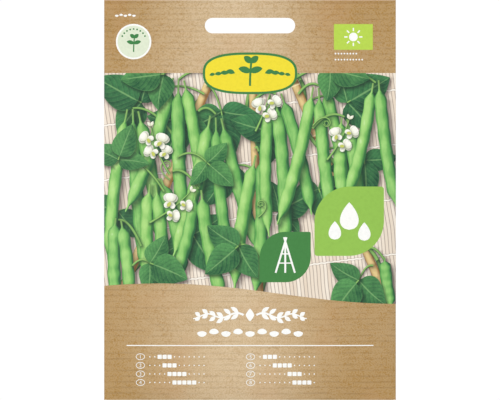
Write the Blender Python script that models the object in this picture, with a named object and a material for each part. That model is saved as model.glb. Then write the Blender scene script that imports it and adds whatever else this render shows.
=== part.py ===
"""A flat paper seed packet with loose bean seeds inside, upright as it hangs from a shop peg.

Metres, +Z up. The printed front faces -Y, and +X is to the right as the front is seen.
The origin is the middle of the hang slot, on the packet's middle plane.

The packet is one sheet of kraft paper: front, two folded sides, a back whose two edges lap, and a flap
that folds up from the front's lower edge onto the back. The header is bonded flat and has the hang slot
punched through it. The seeds lie in one settled layer at the foot of the pouch.
"""

import math
import random

import bpy
import numpy as np

MM = 0.001

# The packet
WIDTH = 102 * MM
HEIGHT = 140 * MM
PAPER = 0.25 * MM
CLEARANCE = 0.3 * MM  # between layers of paper that lie on each other
LAYER = PAPER + CLEARANCE  # from the middle of one layer to the middle of the next
BULGE = 3.9 * MM  # how far the seeds push each panel out
BULGE_FOOT = 14 * MM  # height over which the bulge rises from the lower fold
BULGE_TOP = 55 * MM  # height where the bulge starts to fall away
HEADER = 22 * MM  # the bonded band at the top

# The hang slot, with round ends
SLOT_WIDTH = 31.6 * MM
SLOT_HEIGHT = 5.4 * MM
SLOT_BELOW_TOP = 9.0 * MM

# The back
LAP_LEFT = 24 * MM  # free edge of the outer layer
LAP_RIGHT = 36 * MM  # free edge of the layer under it
LAP_EASE = 3 * MM  # the outer layer comes down to the panel over this width
FLAP_HEIGHT = 12 * MM
FLAP_INSET = 0.6 * MM  # from the side folds, at the lower fold
FLAP_TAPER = 4.5 * MM  # how much narrower the flap's end is on each side
FLAP_FOLD = 0.65 * MM  # height of the round lower fold, to the middle of the paper
BOND_INSET = 1.2 * MM  # glue stops this far from the paper's edges
BOND_SINK = 0.08 * MM  # how far glue reaches into the paper on both sides

# The seeds
SEED_COUNT = 40  # eight poles with five seeds each
SEED_LENGTH = 13.0 * MM
SEED_WIDTH = 7.5 * MM
SEED_THICKNESS = 5.5 * MM
SEED_BEND = 0.07  # half of how far the seed's ends droop, as a share of its width
SEED_SPREAD = 0.04  # sizes differ by this share either way
SEED_TILT = math.radians(5)
SEED_ROOM = 4.1 * MM  # radius of the three discs that stand for a seed while it settles
SEED_REACH = 39.5 * MM  # how far from the middle a disc's centre may lie
SEED_FLOOR = 8.0 * MM  # height of the lowest discs' centres above the lower fold
SEED_FLOOR_RISE = 5.0 * MM  # the floor is higher by this at the sides
SETTLING_STEPS = 1400
SEED_FALL = 0.10 * MM  # how far a seed drops in the first step. It is nothing after 0.6 of the steps
RANDOM_SEED = 11

TOP = SLOT_BELOW_TOP
BOTTOM = TOP - HEIGHT
FOLD_Z = BOTTOM + PAPER / 2 + FLAP_FOLD  # where the lower fold starts to turn
FOLD_RADIUS = LAYER / 2  # of the side folds, to the middle of the paper
FOLD_X = WIDTH / 2 - PAPER / 2 - FOLD_RADIUS  # where the side folds start to turn


def smooth(value, low, high):
    """0 below low, 1 above high, and an S-shaped rise between them."""
    share = np.clip((value - low) / (high - low), 0.0, 1.0)
    return share * share * (3 - 2 * share)


def half_gap(x, z):
    """Distance from the packet's middle plane to the middle of a panel's paper.

    Across the packet the bulge is (1 - |u|^5)^0.8 of its full depth, with u from -1 to 1 between the side
    folds. Upwards it rises along a cubic, stays full over the seeds and falls off along a cosine to the
    header.
    """
    across = (1 - np.minimum(np.abs(x) / FOLD_X, 1.0) ** 5) ** 0.8
    foot = np.clip((z - FOLD_Z) / BULGE_FOOT, 0.0, 1.0)
    rise = 1 - (1 - foot) ** 3
    start = BOTTOM + BULGE_TOP
    fall = np.clip((z - start) / (TOP - HEADER - start), 0.0, 1.0)
    return FOLD_RADIUS + BULGE * across * rise * (0.5 + 0.5 * np.cos(math.pi * fall))


def eased(start, end, count):
    """Values from start to end that lie closer together towards both ends."""
    share = np.linspace(0.0, 1.0, count)
    return start + (end - start) * (share - 0.11 * np.sin(2 * math.pi * share))


def new_object(name, mesh, material=None):
    """Puts a mesh in the scene under a plain name, with a material."""
    made = bpy.data.objects.new(name, mesh)
    bpy.context.collection.objects.link(made)
    if material:
        mesh.materials.append(material)
    return made


def guide_object(name, mesh):
    """An object that only shapes others: it is drawn as wire and never rendered."""
    made = new_object(name, mesh)
    made.display_type = "WIRE"
    made.hide_render = True
    return made


def plain_material(name, colour, roughness):
    """A matte Principled material."""
    made = bpy.data.materials.new(name)
    made.use_nodes = True
    shader = made.node_tree.nodes["Principled BSDF"]
    shader.inputs["Base Color"].default_value = (*colour, 1.0)
    shader.inputs["Roughness"].default_value = roughness
    return made


def grid_mesh(name, points, kept=None):
    """A quad mesh over a grid of points, rows by columns, less the cells where kept is false."""
    rows, columns = points.shape[:2]
    if kept is None:
        kept = np.ones((rows - 1, columns - 1), dtype=bool)
    row, column = np.nonzero(kept)
    first = row * columns + column
    quads = np.stack([first, first + 1, first + columns + 1, first + columns], axis=1)
    used, quads = np.unique(quads, return_inverse=True)
    mesh = bpy.data.meshes.new(name)
    mesh.from_pydata(points.reshape(-1, 3)[used].tolist(), [], quads.reshape(-1, 4).tolist())
    return mesh


def thicken(target, thickness):
    """Gives a surface its wall, half of it on each side."""
    wall = target.modifiers.new("wall", "SOLIDIFY")
    wall.thickness = thickness
    wall.offset = 0.0
    wall.use_even_offset = True


def combine(target, other, operation):
    """A live Boolean between two objects, with the exact solver."""
    change = target.modifiers.new(other.name, "BOOLEAN")
    change.operation = operation
    change.solver = "EXACT"
    change.object = other


def sheet_columns():
    """The sheet's columns, from the covered back edge round the left side, the front and the right side.

    Returns each column's x, the share of half_gap that its y takes (1 on the back, -1 on the front), its
    extra distance outwards on the lap, and whether it lies on the front.
    """
    turn = np.radians([45.0, 90.0, 135.0])
    beside_flap = FOLD_X - FLAP_INSET / 2
    back_left = np.append(eased(LAP_RIGHT, -beside_flap, 16), -FOLD_X)
    front = np.concatenate([[-FOLD_X], eased(-FOLD_X + FLAP_INSET, FOLD_X - FLAP_INSET, 19), [FOLD_X]])
    over_lap = np.linspace(LAP_RIGHT, LAP_LEFT, 4)
    back_right = np.concatenate([[FOLD_X], eased(beside_flap, LAP_RIGHT + LAP_EASE, 4), over_lap])
    left_turn = -FOLD_X - FOLD_RADIUS * np.sin(turn)
    right_turn = FOLD_X + FOLD_RADIUS * np.sin(turn)
    x = np.concatenate([back_left, left_turn, front, right_turn, back_right])
    side = np.concatenate(
        [
            np.ones(len(back_left)),
            np.cos(turn),
            -np.ones(len(front)),
            -np.cos(turn),
            np.ones(len(back_right)),
        ]
    )
    lift = np.zeros(len(x))
    lift[-len(back_right) :] = LAYER * (1 - smooth(back_right, LAP_RIGHT, LAP_RIGHT + LAP_EASE))
    on_front = np.zeros(len(x), dtype=bool)
    first = len(back_left) + len(turn)
    on_front[first : first + len(front)] = True
    return x, side, lift, on_front


def flap_rows(x):
    """The flap's points, from its free end on the back down to the lower fold and round to the front.

    The flap lies one layer outside the back, and one more over the lap. Its end is narrower than its root.
    """
    over_lap = smooth(x, LAP_LEFT - 4 * MM, LAP_LEFT - 1 * MM)
    over_lap = over_lap * (1 - smooth(x, LAP_RIGHT + LAP_EASE, LAP_RIGHT + 2.4 * LAP_EASE))
    outwards = LAYER * (1 + over_lap)
    rows = []
    for share in (1.0, 0.75, 0.5, 0.28, 0.1, 0.0):
        narrower = x * (1 - FLAP_TAPER / (WIDTH / 2) * share)
        z = FOLD_Z + FLAP_HEIGHT * share
        rows.append(np.stack([narrower, half_gap(narrower, z) + outwards, np.full_like(x, z)], axis=1))
    for angle in np.radians([36.0, 72.0, 108.0, 144.0]):
        y = outwards / 2 + (half_gap(x, FOLD_Z) + outwards / 2) * math.cos(angle)
        rows.append(np.stack([x, y, np.full_like(x, FOLD_Z - FLAP_FOLD * math.sin(angle))], axis=1))
    return np.array(rows)


def packet_sheet(material):
    """The whole folded sheet: the pouch's rows, and below them the flap's rows on the front's columns.

    The side folds run on down to the packet's foot, beside the flap's lower fold.
    """
    x, side, lift, on_front = sheet_columns()
    low = FOLD_Z + np.array([0.0, 2.0, 4.5, 8.0, 12.0, 17.0]) * MM
    high = np.linspace(low[-1] + 8 * MM, TOP - HEADER, 11)
    z = np.concatenate([low, high, np.linspace(TOP - HEADER, TOP, 4)[1:]])
    pouch = np.empty((len(z), len(x), 3))
    pouch[:, :, 0] = x
    pouch[:, :, 1] = side * half_gap(x, z[:, None]) + lift
    pouch[:, :, 2] = z[:, None]
    pouch[0, np.abs(x) >= FOLD_X, 2] = BOTTOM
    flap = flap_rows(x)
    points = np.concatenate([flap, pouch])
    kept = np.ones((len(points) - 1, len(x) - 1), dtype=bool)
    inner = on_front[:-1] & on_front[1:]
    first, last = np.nonzero(inner)[0][[0, -1]]
    inner[[first, last]] = False
    kept[: len(flap)] = inner
    sheet = new_object("packet_sheet", grid_mesh("packet_sheet", points, kept), material)
    thicken(sheet, PAPER)
    return sheet


def header_bond():
    """The glue between the two layers of the header, as deep as the clearance and sunk into both."""
    x = np.array([-1.0, 1.0]) * (WIDTH / 2 - BOND_INSET)
    z = np.array([TOP - HEADER, TOP - BOND_INSET])
    points = np.stack(np.broadcast_arrays(x, 0.0, z[:, None]), axis=-1)
    bond = guide_object("header_bond", grid_mesh("header_bond", points))
    thicken(bond, CLEARANCE + 2 * BOND_SINK)
    return bond


def lap_bond():
    """The glue between the two layers of the lap, which follows the back's bulge."""
    x = np.linspace(LAP_LEFT + BOND_INSET, LAP_RIGHT - BOND_INSET, 4)
    z = np.linspace(FOLD_Z + FLAP_HEIGHT + BOND_INSET, TOP - BOND_INSET, 18)
    y = half_gap(x, z[:, None]) + LAYER / 2
    points = np.stack(np.broadcast_arrays(x, y, z[:, None]), axis=-1)
    bond = guide_object("lap_bond", grid_mesh("lap_bond", points))
    thicken(bond, CLEARANCE + 2 * BOND_SINK)
    return bond


def slot_cutter():
    """A bar with round ends that punches the hang slot through the header."""
    radius = SLOT_HEIGHT / 2
    turn = np.linspace(-math.pi / 2, math.pi / 2, 11)
    right = np.stack([SLOT_WIDTH / 2 - radius + radius * np.cos(turn), radius * np.sin(turn)], axis=1)
    outline = np.concatenate([right, -right])
    count = len(outline)
    front = np.insert(outline, 1, 5 * MM, axis=1)
    back = np.insert(outline, 1, -5 * MM, axis=1)
    sides = [(i, (i + 1) % count, count + (i + 1) % count, count + i) for i in range(count)]
    ends = [tuple(range(count - 1, -1, -1)), tuple(range(count, 2 * count))]
    mesh = bpy.data.meshes.new("slot_cutter")
    mesh.from_pydata(np.concatenate([front, back]).tolist(), [], sides + ends)
    return guide_object("slot_cutter", mesh)


def settled_seeds():
    """Centres and angles of the seeds after they have settled in one layer.

    A seed counts as three discs in a row. Each step lowers all seeds a little, pushes discs that overlap
    apart and turns their seeds by the same pushes, and then keeps every disc inside the pouch.
    """
    draw = random.Random(RANDOM_SEED)
    columns = 6
    place = np.arange(SEED_COUNT)
    x = ((place % columns) - (columns - 1) / 2) * 14 * MM + np.array([draw.uniform(-2, 2) for _ in place]) * MM
    z = (place // columns) * 10 * MM + SEED_FLOOR
    angle = np.array([draw.uniform(-math.pi / 2, math.pi / 2) for _ in place])
    arms = np.array([-1.0, 0.0, 1.0]) * (SEED_LENGTH - SEED_WIDTH) / 2
    owner = np.repeat(place, len(arms))
    other = owner[:, None] != owner[None, :]
    for step in range(SETTLING_STEPS):
        z = z - SEED_FALL * max(0.0, 1 - step / (0.6 * SETTLING_STEPS))
        heading = np.stack([np.cos(angle), np.sin(angle)], axis=1)
        reach = arms[None, :, None] * heading[:, None, :]
        discs = (np.stack([x, z], axis=1)[:, None, :] + reach).reshape(-1, 2)
        away = discs[:, None, :] - discs[None, :, :]
        distance = np.linalg.norm(away, axis=2) + 1e-9
        depth = np.clip(2 * SEED_ROOM - distance, 0.0, None) * other
        push = (away / distance[:, :, None] * depth[:, :, None]).sum(axis=1) * 0.3
        floor = SEED_FLOOR + SEED_FLOOR_RISE * np.minimum(np.abs(discs[:, 0]) / SEED_REACH, 1.0) ** 4
        push[:, 0] += np.clip(discs[:, 0], -SEED_REACH, SEED_REACH) - discs[:, 0]
        push[:, 1] += np.clip(floor - discs[:, 1], 0.0, None)
        arm = reach.reshape(-1, 2)
        torque = (arm[:, 0] * push[:, 1] - arm[:, 1] * push[:, 0]).reshape(-1, 3).sum(axis=1)
        push = push.reshape(-1, 3, 2)
        x = x + push[:, :, 0].mean(axis=1)
        z = z + push[:, :, 1].mean(axis=1)
        angle = angle + torque / (arms**2).sum()
    return x, z + BOTTOM, angle


def seed_mesh(material):
    """One kidney-shaped seed, long axis along X: an ellipsoid whose ends droop with the square of X."""
    around, along = 10, 7
    turn = np.arange(around) * 2 * math.pi / around
    rise = np.linspace(0.0, math.pi, along)[1:-1]
    length = -np.cos(rise)
    girth = np.sin(rise) ** 0.9
    bow = -2 * SEED_BEND * SEED_WIDTH * length**2
    rings = np.empty((len(rise), around, 3))
    rings[:, :, 0] = length[:, None] * SEED_LENGTH / 2
    rings[:, :, 1] = girth[:, None] * np.cos(turn) * SEED_THICKNESS / 2
    rings[:, :, 2] = girth[:, None] * np.sin(turn) * SEED_WIDTH / 2 + bow[:, None]
    tip_z = -2 * SEED_BEND * SEED_WIDTH
    tips = [(-SEED_LENGTH / 2, 0.0, tip_z), (SEED_LENGTH / 2, 0.0, tip_z)]
    left = around * len(rise)
    right = left + 1
    faces = []
    last = left - around
    for i in range(around):
        j = (i + 1) % around
        faces.append((left, j, i))
        faces += [(r + i, r + j, r + around + j, r + around + i) for r in range(0, last, around)]
        faces.append((right, last + i, last + j))
    mesh = bpy.data.meshes.new("bean_seed")
    mesh.from_pydata(rings.reshape(-1, 3).tolist() + tips, [], faces)
    mesh.shade_smooth()
    mesh.materials.append(material)
    return mesh


def bean_seeds(material):
    """The loose seeds, each a little tilted and turned over at random about its long axis."""
    mesh = seed_mesh(material)
    draw = random.Random(RANDOM_SEED + 1)
    for number, (x, z, angle) in enumerate(zip(*settled_seeds()), start=1):
        seed = bpy.data.objects.new(f"bean_seed_{number:02d}", mesh)
        bpy.context.collection.objects.link(seed)
        size = 1 + draw.uniform(-SEED_SPREAD, SEED_SPREAD)
        flip = draw.choice((0.0, math.pi))
        seed.location = (x, 0.0, z)
        seed.rotation_mode = "XYZ"
        seed.rotation_euler = (flip + draw.uniform(-SEED_TILT, SEED_TILT), -angle, 0.0)
        seed.scale = (size, size, size)


for old in list(bpy.data.objects):
    bpy.data.objects.remove(old)

kraft_paper = plain_material("kraft_paper", (0.60, 0.44, 0.26), 0.85)
seed_coat = plain_material("seed_coat", (0.80, 0.74, 0.60), 0.45)

packet = packet_sheet(kraft_paper)
combine(packet, header_bond(), "UNION")
combine(packet, lap_bond(), "UNION")
combine(packet, slot_cutter(), "DIFFERENCE")
bean_seeds(seed_coat)
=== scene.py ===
"""The looks of a paper seed packet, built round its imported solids.

Metres, +Z up. The printed front faces -Y. The file follows the packet as it is made: the folded paper,
the seeds that go into it, the picture, badges and marks printed on its front, and the print on its back.
"""

import math
import random

import bpy
import numpy as np
from mathutils.geometry import delaunay_2d_cdt
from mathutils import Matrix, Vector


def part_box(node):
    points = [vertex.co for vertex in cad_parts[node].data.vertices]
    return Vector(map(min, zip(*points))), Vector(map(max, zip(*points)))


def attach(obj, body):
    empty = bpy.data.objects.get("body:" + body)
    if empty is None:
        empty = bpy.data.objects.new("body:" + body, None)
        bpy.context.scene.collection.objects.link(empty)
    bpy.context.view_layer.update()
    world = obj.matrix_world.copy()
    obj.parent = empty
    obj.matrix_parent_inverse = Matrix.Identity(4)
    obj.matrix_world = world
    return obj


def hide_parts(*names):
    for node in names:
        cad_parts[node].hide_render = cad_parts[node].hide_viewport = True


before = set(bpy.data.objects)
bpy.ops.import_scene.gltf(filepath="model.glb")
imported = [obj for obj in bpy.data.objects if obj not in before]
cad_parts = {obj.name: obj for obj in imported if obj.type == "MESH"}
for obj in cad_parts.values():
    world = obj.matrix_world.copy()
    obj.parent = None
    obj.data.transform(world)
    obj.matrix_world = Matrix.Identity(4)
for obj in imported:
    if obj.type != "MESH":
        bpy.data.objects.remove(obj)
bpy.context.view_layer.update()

# The folded paper
# One sheet of ribbed kraft paper: front, two folded sides and a back whose edges lap, with a flap folded up
# from the front's lower edge. The header is glued flat and the hang slot is punched through both layers.

MM = 0.001
FOOT, TOP = (corner[2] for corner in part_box("packet_sheet"))
MIDDLE = (TOP + FOOT) / 2
HALF_WIDTH = 51 * MM
PAPER = 0.15 * MM
LAYER = 0.20 * MM  # from the middle of one layer of paper to the middle of the next
FOLD_RADIUS = LAYER / 2
FOLD_X = HALF_WIDTH - PAPER / 2 - FOLD_RADIUS
FOLD_HEIGHT = 0.3 * MM  # of the round lower fold, to the middle of the paper
FOLD_Z = FOOT + PAPER / 2 + FOLD_HEIGHT
ARC = math.pi * FOLD_RADIUS  # the paper's length round a side fold
TO_BACK = 2 * FOLD_X + ARC  # the paper's length from the middle of the front to the middle of the back
NEAR_FOLD = np.array([0.0, 0.12, 0.28, 0.5, 0.85, 1.4, 2.1, 3.0]) * MM  # columns beside a side fold
COLUMN_PITCH = 1.3 * MM
HEADER = 22 * MM
BULGE = 3.9 * MM
BULGE_FOOT = 14 * MM
BULGE_TOP = 55 * MM
LAP_LEFT = 24 * MM
LAP_RIGHT = 36 * MM
LAP_EASE = 3 * MM
LAP_CURL = 0.15 * MM  # how far the lap's free edge stands off
FLAP_HEIGHT = 12 * MM
FLAP_INSET = 0.5 * MM
FLAP_TAPER = 4.5 * MM
FLAP_CURL = 0.35 * MM  # how far the flap's free end stands off
SLOT_WIDTH = 31.6 * MM
SLOT_HEIGHT = 5.4 * MM
RIB_PITCH = 2.01 * MM
PRESS = 0.24 * MM  # how far a seed pushes the paper out over itself
PRESS_REACH = 0.42  # how wide that dome is, as a share of the seed's span
CREASE = 0.18 * MM  # height of the slack creases that run in from the side folds
CREASE_WIDTH = 2.2 * MM

seed_names = [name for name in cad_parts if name.startswith("bean_seed")]
seed_boxes = np.array([[list(corner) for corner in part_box(name)] for name in seed_names])[:, :, [0, 2]]
seed_places = seed_boxes.mean(axis=1)
seed_reaches = PRESS_REACH * (seed_boxes[:, 1] - seed_boxes[:, 0])

draw = random.Random(4)
seed_presses = np.array([(draw.uniform(0.2, 1.0), draw.uniform(0.2, 1.0)) for _ in seed_names])
creases = []
for side in (-1, 1):
    for height in (22, 48, 71, 86, 99):
        place = (side * draw.uniform(33, 41) * MM, FOOT + (height + draw.uniform(-4, 4)) * MM)
        creases.append((place, side * draw.uniform(20, 60), draw.uniform(5, 9) * MM, draw.choice((0, 1))))


def smooth(value, low, high):
    """0 below low, 1 above high, and the cubic 3 s^2 - 2 s^3 between them."""
    share = np.clip((value - low) / (high - low), 0.0, 1.0)
    return share * share * (3 - 2 * share)


def swell(x, z, back):
    """How far a panel stands out from the flat packet.

    The bulge is (1 - |u|^5)^0.8 across, with u from -1 to 1 between the side folds. Upwards it rises along
    a cubic, stays full over the seeds and falls along a cosine to the header. Each seed adds a Gaussian
    dome, and each slack crease a ridge that is Gaussian along and across its own line. Both fade out with
    the bulge.
    """
    across = (1 - np.minimum(np.abs(x) / FOLD_X, 1.0) ** 5) ** 0.8
    rise = 1 - (1 - np.clip((z - FOLD_Z) / BULGE_FOOT, 0.0, 1.0)) ** 3
    start = FOOT + BULGE_TOP
    fall = np.clip((z - start) / (TOP - HEADER - start), 0.0, 1.0)
    bulge = across * rise * (0.5 + 0.5 * np.cos(math.pi * fall))
    relief = np.zeros_like(bulge)
    for place, reach, press in zip(seed_places, seed_reaches, seed_presses):
        away = ((x - place[0]) / reach[0]) ** 2 + ((z - place[1]) / reach[1]) ** 2
        relief += PRESS * np.where(back, press[1], press[0]) * np.exp(-away)
    for place, angle, length, side in creases:
        turn = math.radians(angle)
        along = (x - place[0]) * math.cos(turn) + (z - place[1]) * math.sin(turn)
        beside = (z - place[1]) * math.cos(turn) - (x - place[0]) * math.sin(turn)
        ridge = np.exp(-((along / length) ** 2) - (beside / CREASE_WIDTH) ** 2)
        relief += CREASE * np.where(back == side, 1.0, 0.35) * ridge
    return BULGE * bulge + relief * np.minimum(1.0, 3 * bulge)


def sheet_point(u, z, lift=0.0):
    """The sheet's point at z up and u along the paper from the middle of the front, lifted outwards.

    Past a side fold it turns half round an arc of FOLD_RADIUS, and then runs back along the packet's back.
    """
    u, z, lift = np.broadcast_arrays(u, z, lift)
    over = np.abs(u) - FOLD_X
    turn = np.clip(over / FOLD_RADIUS, 0.0, math.pi)
    beyond = np.clip(over - ARC, 0.0, None)
    x = np.sign(u) * (np.minimum(np.abs(u), FOLD_X) + (FOLD_RADIUS + lift) * np.sin(turn) - beyond)
    depth = FOLD_RADIUS + lift + swell(x, z, turn > math.pi / 2)
    return np.stack([x, -depth * np.cos(turn), z], axis=-1)


def columns_across(pitch):
    """Places across the front from fold to fold: a pitch apart, and closer where the bulge falls away."""
    reach = FOLD_X - NEAR_FOLD[-1]
    middle = np.linspace(-reach, reach, int(2 * reach / pitch) + 1)[1:-1]
    return np.concatenate([-FOLD_X + NEAR_FOLD, middle, FOLD_X - NEAR_FOLD[::-1]])


def new_mesh(name, points, faces):
    """A mesh from arrays of points and faces."""
    mesh = bpy.data.meshes.new(name)
    mesh.from_pydata(points.tolist(), [], faces)
    return mesh


def new_object(name, data):
    """Puts a mesh, lamp or camera in the scene."""
    made = bpy.data.objects.new(name, data)
    bpy.context.collection.objects.link(made)
    return made


def new_piece(name, mesh):
    """Puts a mesh in the scene as a piece that stands still with the packet."""
    made = new_object(name, mesh)
    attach(made, "root")
    return made


def grid_mesh(name, points, kept):
    """A quad mesh over a grid of points, rows by columns, less the cells where kept is false."""
    columns = points.shape[1]
    row, column = np.nonzero(kept)
    first = row * columns + column
    quads = np.stack([first, first + 1, first + columns + 1, first + columns], axis=1)
    used, quads = np.unique(quads, return_inverse=True)
    return new_mesh(name, points.reshape(-1, 3)[used], quads.reshape(-1, 4).tolist())


def ink(red, green, blue):
    """A printed colour from its 0 to 255 values, made linear for the shaders."""
    shares = np.array([red, green, blue]) / 255
    linear = np.where(shares <= 0.04045, shares / 12.92, ((shares + 0.055) / 1.055) ** 2.4)
    return (*linear.tolist(), 1.0)


def feed(tree, socket, value):
    """Joins a Value to a socket, or sets the socket to a plain number, vector or colour."""
    if isinstance(value, Value):
        tree.links.new(value.socket, socket)
    else:
        socket.default_value = value


def add_node(tree, kind, output, inputs, **settings):
    """A shader node with its inputs fed by name or number. Returns one output."""
    made = tree.nodes.new("ShaderNode" + kind)
    for name, value in settings.items():
        setattr(made, name, value)
    for key, value in inputs.items():
        feed(tree, made.inputs[key], value)
    return Value(tree, made.outputs[output])


class Value:
    """A number or colour in a material. Plain arithmetic on it adds Math nodes."""

    def __init__(self, tree, socket):
        self.tree = tree
        self.socket = socket

    def maths(self, operation, *others):
        return add_node(self.tree, "Math", 0, dict(enumerate((self, *others))), operation=operation)

    def __add__(self, other):
        return self.maths("ADD", other)

    def __sub__(self, other):
        return self.maths("SUBTRACT", other)

    def __mul__(self, other):
        return self.maths("MULTIPLY", other)

    def __abs__(self):
        return self.maths("ABSOLUTE")

    def rising(self, low, high):
        """0 at low and 1 at high, along a smooth step. It falls where low is above high."""
        ends = {0: self, 1: low, 2: high}
        return add_node(self.tree, "MapRange", 0, ends, interpolation_type="SMOOTHSTEP")

    def wave(self, pitch):
        """A sine of this number that repeats every pitch."""
        return (self * (2 * math.pi / pitch)).maths("SINE")


class Finish:
    """A procedural material that is being wired. It starts as one colour, and more go over it."""

    def __init__(self, name, colour=None):
        self.material = bpy.data.materials.new(name)
        self.material.use_nodes = True
        self.tree = self.material.node_tree
        self.colour = colour

    def node(self, kind, output, inputs, **settings):
        return add_node(self.tree, kind, output, inputs, **settings)

    def coordinates(self):
        """The object coordinates in metres, as one vector."""
        return self.node("TexCoord", "Object", {})

    def parts(self, vector, count):
        """The first parts of a vector, as numbers."""
        return [self.node("SeparateXYZ", axis, {0: vector}) for axis in range(count)]

    def along_across(self):
        """A printed shape's own coordinates: 0 to 1 along it, and -1 to 1 across it."""
        return self.parts(self.node("UVMap", 0, {}, uv_map="along_across"), 2)

    def attribute(self, name):
        return self.node("Attribute", "Fac", {}, attribute_name=name)

    def noise(self, scale, stretch=(1, 1, 1), detail=2.0):
        """Smooth noise from 0 to 1 on the object coordinates, with more cells along a larger stretch."""
        where = self.node("Mapping", 0, {"Vector": self.coordinates(), "Scale": stretch})
        return self.node("TexNoise", 0, {"Vector": where, "Scale": scale, "Detail": detail})

    def rounded(self):
        """How brightly a round shape catches the painted light: by its turn to the light, and its crown."""
        _, t = self.along_across()
        crown = (t * t * -1.0 + 1.0).maths("SQRT")
        return self.attribute("facing") * 0.5 + crown * 0.8

    def mix(self, share, first, second):
        return self.node("Mix", 2, {0: share, 6: first, 7: second}, data_type="RGBA")

    def over(self, share, colour):
        """Lays a colour over those before it, as thickly as its share says."""
        self.colour = self.mix(share, self.colour, colour)

    def done(self, roughness, height=None, depth=0.02 * MM):
        """Feeds the shader with the colour, a roughness and a height that stands depth high, and ends."""
        sockets = self.tree.nodes["Principled BSDF"].inputs
        feed(self.tree, sockets["Base Color"], self.colour)
        feed(self.tree, sockets["Roughness"], roughness)
        sockets["Specular IOR Level"].default_value = 0.3
        if height:
            bump = self.node("Bump", 0, {"Height": height, "Distance": depth, "Strength": 0.6})
            feed(self.tree, sockets["Normal"], bump)
        return self.material

    def painted(self, height, shade_colour, roughness=0.5):
        """Lays the painted shade over a part of the picture, and ends."""
        self.over(self.attribute("shade") * 0.80, shade_colour)
        return self.done(roughness, height, depth=0.01 * MM)


# Ribbed kraft: tan, with broken rib lines, fine grain and a few dark flecks. It darkens towards both side
# folds: partly the kraft's own tone, partly painted shade of the bulge.
finish = Finish("kraft_paper", ink(216, 192, 156))
x, _, z = finish.parts(finish.coordinates(), 3)
drift = finish.noise(55, detail=1.0) - 0.5
patch = finish.noise(330, stretch=(0.7, 1, 1), detail=3.0) - 0.5
grain = finish.noise(2700, stretch=(0.75, 1, 1), detail=3.0)
dash = finish.noise(1.0, stretch=(150, 150, 480), detail=4.0)
fleck = finish.noise(1700, detail=0.0)
line = abs((z * (1 / RIB_PITCH) + drift * 0.5).maths("FRACT") - 0.5).rising(0.24, 0.5)
rib = line * dash.rising(0.30, 0.66)
from_middle = abs(z - MIDDLE)
# Painted shade, partly the kraft's own tone: side darkens the paper towards both side folds, a little less
# on the right and at mid-height.
right_shade = x.rising(-0.06 * HALF_WIDTH, 0.74 * HALF_WIDTH) * 0.95
side = x.rising(-0.10 * HALF_WIDTH, -1.02 * HALF_WIDTH) + right_shade
side = side * (from_middle.rising(46 * MM, 64 * MM) * 0.15 + 0.90)
end = TOP - MIDDLE
finish.over(side, ink(182, 149, 101))
finish.over((patch * 0.42 + (grain - 0.5) * 1.70) * (side * 0.80 + 0.80) + 0.12, ink(158, 112, 12))
finish.over(rib * (side * 0.03 + 0.18), ink(98, 68, 28))
finish.over(drift.rising(0.0, 0.22) * 0.22, ink(196, 150, 104))
finish.over(fleck.rising(0.74, 0.84) * 0.40, ink(112, 84, 50))
finish.over(z.rising(TOP - 1.6 * MM, TOP - 0.8 * MM) * side * 0.20, ink(138, 96, 44))
finish.over(from_middle.rising(end - 0.45 * MM, end - 0.25 * MM) * 0.16, ink(236, 220, 192))
kraft_paper = finish.done(grain * 0.15 + 0.74, grain * 0.8 + patch * 0.5 - rib * 0.5, depth=0.025 * MM)

# The pale core that shows where the paper is cut, with a fibrous grain.
finish = Finish("cut_edge", ink(212, 188, 150))
grain = finish.noise(2500, detail=3.0)
finish.over(grain, ink(244, 234, 214))
cut_edge = finish.done(0.9, grain)


def lap_lift(u):
    """How far the outer layer of the lap stands off the panel under it, at u on the right of the back."""
    x = FOLD_X - (u - FOLD_X - ARC)
    on_lap = 1 - smooth(x, LAP_RIGHT, LAP_RIGHT + LAP_EASE)
    curl = LAP_CURL * (1 - smooth(x, LAP_LEFT, LAP_LEFT + 4 * MM))
    return np.where(u > FOLD_X + ARC, LAYER * on_lap + curl, 0.0)


def flap_rows(u):
    """The flap from its free end on the back, down to the lower fold and round half an ellipse to the front.

    It lies one layer outside the back and one more over the lap, and narrows by FLAP_TAPER.
    """
    over_lap = smooth(u, LAP_LEFT - 4 * MM, LAP_LEFT - 1 * MM)
    over_lap = over_lap * (1 - smooth(u, LAP_RIGHT + LAP_EASE, LAP_RIGHT + 2.4 * LAP_EASE))
    outwards = LAYER * (1 + over_lap)
    share = np.linspace(1.0, 0.0, 14)[:, None]
    x = u * (1 - FLAP_TAPER / HALF_WIDTH * share)
    z = FOLD_Z + FLAP_HEIGHT * share + 0 * x
    rows = np.stack([x, FOLD_RADIUS + swell(x, z, True) + outwards + FLAP_CURL * share**2, z], axis=-1)
    turn = np.radians(np.arange(22.5, 180, 22.5))[:, None]
    y = outwards / 2 + (FOLD_RADIUS + outwards / 2) * np.cos(turn)
    low = np.stack([u + 0 * y, y, FOLD_Z - FOLD_HEIGHT * np.sin(turn) + 0 * y], axis=-1)
    return np.concatenate([rows, low])


def slot_bar():
    """A bar with round ends that stands through the header, for the hang slot's cut."""
    radius = SLOT_HEIGHT / 2
    angle = np.linspace(-math.pi / 2, math.pi / 2, 25)
    end = np.stack([SLOT_WIDTH / 2 - radius + radius * np.cos(angle), radius * np.sin(angle)], axis=1)
    outline = np.concatenate([end, -end])
    count = len(outline)
    walls = [(i, (i + 1) % count, count + (i + 1) % count, count + i) for i in range(count)]
    walls += [tuple(range(count - 1, -1, -1)), tuple(range(count, 2 * count))]
    ends = [np.insert(outline, 1, depth, axis=1) for depth in (5 * MM, -5 * MM)]
    bar = new_mesh("slot_bar", np.concatenate(ends), walls)
    bar.materials.append(cut_edge)
    return new_object("slot_bar", bar)


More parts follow.
